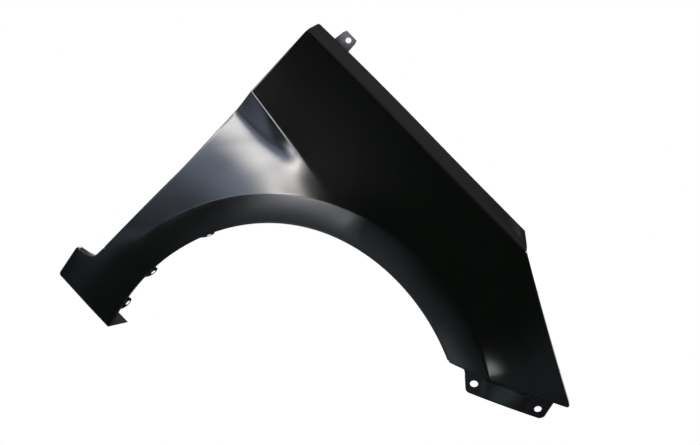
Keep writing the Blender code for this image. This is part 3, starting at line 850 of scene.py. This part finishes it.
def bumper_bracket_mesh():
    """A plate hanging behind the nose's lower edge, with a ledge that lies on the nose's fold."""
    crease = np.array([nose_crease_x, nose_line(nose_crease_x)])
    along = unit(np.array([nose_tip_x, nose_line(nose_tip_x)]) - crease)
    lift = in_space([-along[1], along[0]]) * (weld_gap + sheet_thickness - bend_radius)
    shares = np.linspace(0.0, 1.0, bumper_columns)
    top, *plate = [
        np.array([bumper_point(share, fall) for share in shares]) + lift for fall in (0.0, *bumper_row_shares)
    ]
    ledge = [top - back * INBOARD for back in (bumper_ledge, bumper_ledge / 2, bend_radius)]
    return sheet_mesh(ledge + plate, flip=True)


def bumper_holes():
    mesh = bmesh.new()
    for x, drop in bumper_hole_places:
        centre = (x, plate_depth(x), nose_line(x) - drop)
        slope = max(x - turn_in_start, 0.0) / turn_in_radius
        axis = unit(INBOARD - slope * FORWARD)
        drill(mesh, centre, axis, bumper_hole_height, bumper_hole_length)
    return mesh


# %% Rear top bracket
top_bracket_row_shares = refine((0.08, 0.20, 0.35, 0.50, 0.65, 0.80, 0.90, 0.96, 1.0), 3)


def top_bracket_root():
    """Middle of the top bracket's bend, near the top flange's inner edge."""
    rear_x = shoulder_edge(0.0)[0]
    root = top_flange_points([(top_bracket_x - rear_x) / (shoulder_front_x - rear_x)])[0]
    reach = top_flange_width - bend_radius - top_hole_inset - bracket_thickness
    return root + reach * INBOARD + (weld_gap + bracket_thickness) * UP


def top_bracket_mesh():
    """A foot that lies on the top flange and a tongue that rises from it."""
    root = top_bracket_root()
    across = np.linspace(-0.5, 0.5, top_bracket_columns)[:, None] * FORWARD
    foot = root + across * top_bracket_foot_width
    rows = [foot - back * INBOARD for back in (top_bracket_foot_length, 2 * bend_radius, bend_radius)]
    rows.append(foot + bend_radius * (1 - math.sqrt(0.5)) * (UP - INBOARD))
    lean = top_bracket_lean / top_bracket_height * INBOARD
    for share in top_bracket_row_shares:
        start, end = top_bracket_taper_shares
        taper = smooth((share - start) / (end - start))
        corner = bend_radius * smooth((share - end) / (1 - end))
        width = mix(top_bracket_foot_width, top_bracket_head_width, taper) - 2 * corner
        coined = top_bracket_coin_depth * smooth((share - top_bracket_coin_share) / top_bracket_coin_ramp)
        rise = (UP + lean) * share * top_bracket_height
        rows.append(root + across * width + rise + coined * INBOARD)
    return sheet_mesh(rows)


def top_bracket_hole():
    mesh = bmesh.new()
    lean = top_bracket_lean / top_bracket_height
    centre = top_bracket_root() + top_bracket_hole_height * (UP + lean * INBOARD)
    centre[0] += top_bracket_hole_shift
    drill(mesh, centre, unit(INBOARD - lean * UP), top_bracket_hole_diameter)
    return mesh


# %% [markdown]
# ## Camera
# The photograph shows the panel from a little above and turned by half a right angle: the nose of the
# fender points down to the right. The camera stands 2.4 m off, looks down by 14 degrees and is rolled by
# 46.6 degrees. A camera is placed by its axes, which leaves no doubt about the roll.

# %% Camera
camera_distance = 2.400
camera_down_deg = 14.0
camera_roll_deg = 46.6
camera_aim = np.array([-0.1436, 0.0100, 0.3550])
photo_width, focal_pixels = 700, 1252.0

seat = top_flange_points([seat_share])[0] - sheet_thickness * UP
view = turned(INBOARD, -UP, camera_down_deg)
upright = turned(UP, INBOARD, camera_down_deg)
photo_right = turned(FORWARD, upright, camera_roll_deg)
photo_up = turned(upright, -FORWARD, camera_roll_deg)
aim = camera_aim - seat

camera = bpy.data.objects.new("camera", bpy.data.cameras.new("camera"))
bpy.context.scene.collection.objects.link(camera)
camera.data.sensor_fit = "HORIZONTAL"
camera.data.lens = camera.data.sensor_width * focal_pixels / photo_width
camera.matrix_world = placement(aim - camera_distance * view, photo_right, photo_up)
bpy.context.scene.camera = camera
print("lens: %.1f mm" % camera.data.lens)

# %% [markdown]
# ## Materials: black cathodic dip primer
# The bare pressing is hung in a bath of epoxy paint, and a current draws the paint onto every face of the
# steel, inside and out. After baking the coat is about 20 micrometres thick, nearly black and semi-gloss.
# It is an insulator, so it reflects only 4 to 5 percent of the light that meets it square on: everything the
# eye reads as form is that weak reflection. Its fine ripple, the orange peel, is a few millimetres long.

# %% Colour and node helpers
def from_hex(code):
    """An sRGB hex colour as the linear values that Blender works with."""
    parts = [int(code[i:i + 2], 16) / 255 for i in (1, 3, 5)]
    return [p / 12.92 if p <= 0.04045 else ((p + 0.055) / 1.055) ** 2.4 for p in parts] + [1.0]


def new_material(name):
    """A material made of nodes, and its tree of nodes."""
    material = bpy.data.materials.new(name)
    material.use_nodes = True
    return material, material.node_tree


def add_node(tree, kind, settings):
    """Adds a node. Settings are its properties, and values or other nodes' sockets for its inputs."""
    node = tree.nodes.new("ShaderNode" + kind)
    for name, value in settings.items():
        if isinstance(value, bpy.types.NodeSocket):
            tree.links.new(value, node.inputs[name])
        elif isinstance(name, str) and name not in node.inputs:
            setattr(node, name, value)
        else:
            node.inputs[name].default_value = value
    return node


print("nearly black:", [round(v, 4) for v in from_hex("#0b0e0a")[:3]])

# %% Dip primer
gloss_spread = 0.02
patch_noise_mm = 5.0


def dip_primer(name, deep, thin, roughness, peel_mm, peel_depth_mm, flow_mm, pale_patches):
    """Baked dip primer: a nearly black coat, a little uneven in tone and gloss, with a faint ripple."""
    material, tree = new_material(name)
    shader = tree.nodes["Principled BSDF"]
    shader.inputs["IOR"].default_value = 1.55
    where = add_node(tree, "TexCoord", {}).outputs["Object"]

    # the paint runs a little thinner in places as the rack is lifted from the bath
    flow = add_node(tree, "TexNoise", {"Scale": 1000 / flow_mm, "Detail": 3.0, "Vector": where})
    coat = add_node(tree, "Mix", {
        "data_type": "RGBA", "Factor": flow.outputs["Fac"], "A": from_hex(deep), "B": from_hex(thin),
    }).outputs["Result"]

    # pale patches painted over the coat, by place, reach and colour: on the sill flange and the tongue's tip
    # they are painted reflections, on the bumper pad a paler patch
    for centre, reach_mm, pale in pale_patches:
        away = add_node(tree, "VectorMath", {"operation": "DISTANCE", 0: where, 1: centre})
        near = add_node(tree, "MapRange", {
            "interpolation_type": "SMOOTHSTEP", "Value": away.outputs["Value"],
            "From Min": reach_mm / 1000, "From Max": reach_mm / 4000,
        })
        patch_noise = add_node(tree, "TexNoise", {"Scale": 1000 / patch_noise_mm, "Detail": 4.0, "Vector": where})
        patchy = add_node(tree, "MapRange", {
            "Value": patch_noise.outputs["Fac"], "From Min": 0.3, "From Max": 0.7, "To Min": 0.5,
        })
        cover = add_node(tree, "Math", {
            "operation": "MULTIPLY", 0: near.outputs["Result"], 1: patchy.outputs["Result"],
        })
        coat = add_node(tree, "Mix", {
            "data_type": "RGBA", "Factor": cover.outputs[0], "A": coat, "B": from_hex(pale),
        }).outputs["Result"]
    tree.links.new(coat, shader.inputs["Base Color"])

    # dust and handling dull the gloss unevenly
    dust = add_node(tree, "TexNoise", {"Scale": 1000 / (flow_mm / 4), "Detail": 6.0, "Vector": where})
    gloss = add_node(tree, "MapRange", {
        "Value": dust.outputs["Fac"], "To Min": roughness - gloss_spread, "To Max": roughness + gloss_spread,
    })
    tree.links.new(gloss.outputs["Result"], shader.inputs["Roughness"])

    # orange peel: a soft ripple a few millimetres long and a few micrometres deep
    peel = add_node(tree, "TexNoise", {"Scale": 1000 / peel_mm, "Detail": 1.0, "Vector": where})
    bump = add_node(tree, "Bump", {
        "Strength": 1.0, "Distance": peel_depth_mm / 1000, "Height": peel.outputs["Fac"],
    })
    tree.links.new(bump.outputs["Normal"], shader.inputs["Normal"])
    return material


# the panel: smooth drawing steel under a full coat; a pale patch on the sill flange is a painted reflection
sill_middle = on_skin(-0.345, sill_height) + np.array([0.0, 0.050, 0.020])
panel_primer = dip_primer(
    "dip_primed_panel_steel", "#0b0e0a", "#0e110d", roughness=0.13, peel_mm=3.0, peel_depth_mm=0.004,
    flow_mm=140.0, pale_patches=[(sill_middle, 56.0, "#4c524e")],
)

# the brackets: rougher structural steel, with a painted reflection as a pale patch on the tongue's tip, and a
# paler patch on the bumper pad
tongue_tip = top_bracket_root() + np.array([-0.003, 0.0, 0.042])
pad_middle = bumper_point(0.48, 0.55)
bracket_primer = dip_primer(
    "dip_primed_bracket_steel", "#121315", "#191a1c", roughness=0.36, peel_mm=2.0, peel_depth_mm=0.010,
    flow_mm=30.0, pale_patches=[(tongue_tip, 32.0, "#9497a1"), (pad_middle, 46.0, "#39423f")],
)
print("materials:", panel_primer.name, bracket_primer.name)

# %% [markdown]
# ## Build the fine pieces
# Each sheet is thickened inwards, then its ears are joined and its holes are cut, all by modifiers. Faces
# are shaded smooth, with sharp edges only where the sheet was sheared.

# %% Dress the frame
def new_object(name, mesh):
    """Puts a mesh into the scene as an object."""
    data = bpy.data.meshes.new(name)
    mesh.to_mesh(data)
    mesh.free()
    thing = bpy.data.objects.new(name, data)
    bpy.context.scene.collection.objects.link(thing)
    return thing


def flat_square(name, half_size):
    """A square of one face."""
    mesh = bmesh.new()
    bmesh.ops.create_grid(mesh, x_segments=1, y_segments=1, size=half_size)
    return new_object(name, mesh)


def add_piece(name, mesh, thickness, node, material, tools):
    """Makes one finished piece that stands for a node of the solid model."""
    piece = new_object(name, mesh)
    piece.location = Vector(-seat)
    solid = piece.modifiers.new("thickness", "SOLIDIFY")
    solid.thickness = thickness
    solid.offset = -1.0
    helpers = []
    for tool, operation in tools:
        helper = new_object(name + "_tool", tool)
        helper.location = Vector(-seat)
        cut = piece.modifiers.new(operation.lower(), "BOOLEAN")
        cut.operation = operation
        cut.solver = "EXACT"
        cut.object = helper
        helpers.append(helper)
    evaluated = piece.evaluated_get(bpy.context.evaluated_depsgraph_get())
    finished = bpy.data.meshes.new_from_object(evaluated)
    piece.modifiers.clear()
    piece.data = finished
    for helper in helpers:
        bpy.data.objects.remove(helper)
    finished.materials.clear()
    finished.materials.append(material)
    finished.shade_smooth()
    finished.set_sharp_from_angle(angle=math.radians(sharp_angle_deg))
    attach(piece, "root")
    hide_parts(node)
    print(name, len(finished.polygons), "faces")


add_piece(
    "fender_skin", make_panel_mesh(), sheet_thickness, "fender_panel", panel_primer,
    [(panel_ears(), "UNION"), (panel_holes(), "DIFFERENCE")],
)
add_piece(
    "bumper_bracket_pressing", bumper_bracket_mesh(), bracket_thickness, "bumper_bracket",
    bracket_primer, [(bumper_holes(), "DIFFERENCE")],
)
add_piece(
    "rear_top_bracket_tongue", top_bracket_mesh(), bracket_thickness, "rear_top_bracket",
    bracket_primer, [(top_bracket_hole(), "DIFFERENCE")],
)

# %% [markdown]
# ## Studio
# A black gloss panel is lit by what it mirrors. Four narrow windows of light, one above another to the left
# of the camera, draw the bright band in the scoop. Wide dim walls beside and below them give the flare its
# blue greys, and a small lamp at the lower right makes the bright fan at the nose. Everything else in front
# stays dark, so the rest of the skin falls to black. The lamps stand far off, so that each keeps one
# direction over the whole panel, and they add up where they overlap. The lamp overhead lights the shoulder
# strip, and the lamps behind light the edges and the back.

# %% Softbox
lamp_distance = 25.0


def softbox(name, towards, wide_deg, tall_deg, turn_deg, strength, peak, tint):
    """A lit cloth that faces the panel and fades to its rim. It is brightest at peak, -1 to 1 across."""
    side = unit(np.cross(photo_up, towards))
    raised = np.cross(towards, side)
    box_x = turned(side, raised, turn_deg)
    box = flat_square(name, 1.0)
    half_sizes = [lamp_distance * math.tan(math.radians(angle) / 2) for angle in (wide_deg, tall_deg)]
    faced = placement(aim + lamp_distance * towards, box_x, np.cross(towards, box_x))
    box.matrix_world = faced @ Matrix.Diagonal((*half_sizes, 1.0, 1.0))
    box.visible_camera = False

    cloth, tree = new_material(name + "_lit_cloth")
    tree.nodes.remove(tree.nodes["Principled BSDF"])
    place_on_cloth = add_node(tree, "TexCoord", {}).outputs["Object"]
    axes = add_node(tree, "SeparateXYZ", {"Vector": place_on_cloth}).outputs
    power = strength
    for axis, brightest in (("X", peak), ("Y", 0.0)):
        halves = []
        for rim in (1.0, -1.0):
            halves.append(add_node(tree, "MapRange", {
                "interpolation_type": "SMOOTHSTEP", "Value": axes[axis],
                "From Min": rim, "From Max": brightest,
            }).outputs["Result"])
        fade = add_node(tree, "Math", {"operation": "MINIMUM", 0: halves[0], 1: halves[1]}).outputs[0]
        power = add_node(tree, "Math", {"operation": "MULTIPLY", 0: power, 1: fade}).outputs[0]
    glow = add_node(tree, "Emission", {"Color": from_hex(tint), "Strength": power}).outputs[0]
    clear = add_node(tree, "BsdfTransparent", {}).outputs[0]
    both = add_node(tree, "AddShader", {0: glow, 1: clear})
    tree.links.new(both.outputs[0], tree.nodes["Material Output"].inputs["Surface"])
    box.data.materials.append(cloth)


def from_photo(right, up):
    """A direction from the panel into the room, by its parts to the photo's right and up."""
    return right * photo_right + up * photo_up - math.sqrt(1 - right * right - up * up) * view


# %% Softboxes in front of the panel
# name, parts to the photo's right and up, width, height and turn in degrees, strength, peak, tint
for name, right, up, wide, tall, turn, strength, peak, tint in (
    ("window_top", -0.322, 0.306, 9.5, 33.0, 15.5, 23.5, 0.5, "#f8f6f6"),
    ("window_middle", -0.276, 0.067, 6.0, 40.0, -21.0, 28.0, 0.8, "#fbf7f5"),
    ("window_foot", -0.450, -0.161, 7.3, 27.0, -42.5, 16.1, 0.8, "#f0f2fa"),
    ("window_low", -0.259, -0.204, 6.0, 35.0, -18.0, 10.6, 0.5, "#eef1f8"),
    ("left_wall", -0.488, 0.100, 23.7, 42.0, 13.7, 4.0, 0.8, "#d0e0fa"),
    ("far_left", -0.809, -0.195, 24.0, 75.0, -50.0, 1.9, 0.7, "#d0e0fa"),
    ("left_fill", -0.640, -0.325, 4.4, 17.0, -60.0, 1.1, 0.0, "#d0e0fa"),
    ("left_gap", -0.550, -0.215, 9.0, 16.0, -50.0, 1.3, 0.0, "#d0e0fa"),
    ("low_fill", -0.290, -0.460, 12.0, 14.0, 0.0, 0.6, 0.0, "#d0e6f4"),
    ("right_wall", 0.774, -0.517, 8.8, 17.0, 20.0, 5.0, 0.0, "#f4f6f6"),
    ("right_fill", 0.640, -0.720, 34.0, 34.0, 0.0, 0.18, 0.0, "#d2def2"),
    ("low_front", 0.022, -0.842, 87.0, 51.0, -57.0, 0.56, -0.4, "#d6e2f4"),
    ("low_spot", 0.120, -0.800, 14.0, 20.0, 0.0, 0.6, 0.0, "#dde4f0"),
):
    softbox(name, from_photo(right, up), wide, tall, turn, strength, peak, tint)

# %% Softboxes above and behind
# name, direction in the car's axes, width, height and turn in degrees, strength, peak
for name, towards, wide, tall, turn, strength, peak in (
    ("back_high", (0.3, 0.9, 0.38), 60.0, 40.0, 0.0, 6.0, 0.0),
    ("back_low", (-0.1, 1.0, -0.3), 70.0, 40.0, 0.0, 4.0, 0.0),
    ("back_left", (-0.9, 0.6, 0.8), 40.0, 50.0, 0.0, 4.0, 0.0),
    ("back_rim", (-0.42, 0.9, 0.0), 50.0, 50.0, 0.0, 0.7, 0.0),
    ("back_right", (0.9, 0.6, 0.8), 40.0, 50.0, 0.0, 4.0, 0.0),
    ("overhead", (0.34, 0.17, 1.0), 100.0, 74.0, 90.0, 0.355, 0.8),
):
    softbox(name, unit(np.array(towards)), wide, tall, turn, strength, peak, "#ffffff")
print("softboxes:", len([m for m in bpy.data.materials if m.name.endswith("lit_cloth")]))

# %% [markdown]
# ## Floor and background
# The real photograph is cut out on white. So the paper floor and the room show plain white to the camera
# alone, and everything else sees a matt floor and a nearly dark room.

# %% Floor and white background
floor_drop = 2.5
floor_half_size = 2.0
room_level = 0.02


def white_to_camera(tree, kind, real, output):
    """Shows plain white to the camera in place of the real shader."""
    plain = add_node(tree, kind, {"Color": (1.0, 1.0, 1.0, 1.0), "Strength": 1.0}).outputs[0]
    seen = add_node(tree, "LightPath", {}).outputs["Is Camera Ray"]
    both = add_node(tree, "MixShader", {0: seen, 1: real.outputs[0], 2: plain})
    tree.links.new(both.outputs[0], tree.nodes[output].inputs["Surface"])


floor = flat_square("floor", floor_half_size)
floor.location = (0.0, 0.0, cad_low[2] - floor_drop)
paper, tree = new_material("white_paper_floor")
matt = tree.nodes["Principled BSDF"]
matt.inputs["Base Color"].default_value = from_hex("#f4f4f2")
matt.inputs["Roughness"].default_value = 0.9
white_to_camera(tree, "Emission", matt, "Material Output")
floor.data.materials.append(paper)

world = bpy.data.worlds.new("studio")
world.use_nodes = True
bpy.context.scene.world = world
room = world.node_tree.nodes["Background"]
room.inputs["Color"].default_value = from_hex("#e9edf2")
room.inputs["Strength"].default_value = room_level
white_to_camera(world.node_tree, "Background", room, "World Output")
bpy.context.scene.view_settings.view_transform = "Standard"
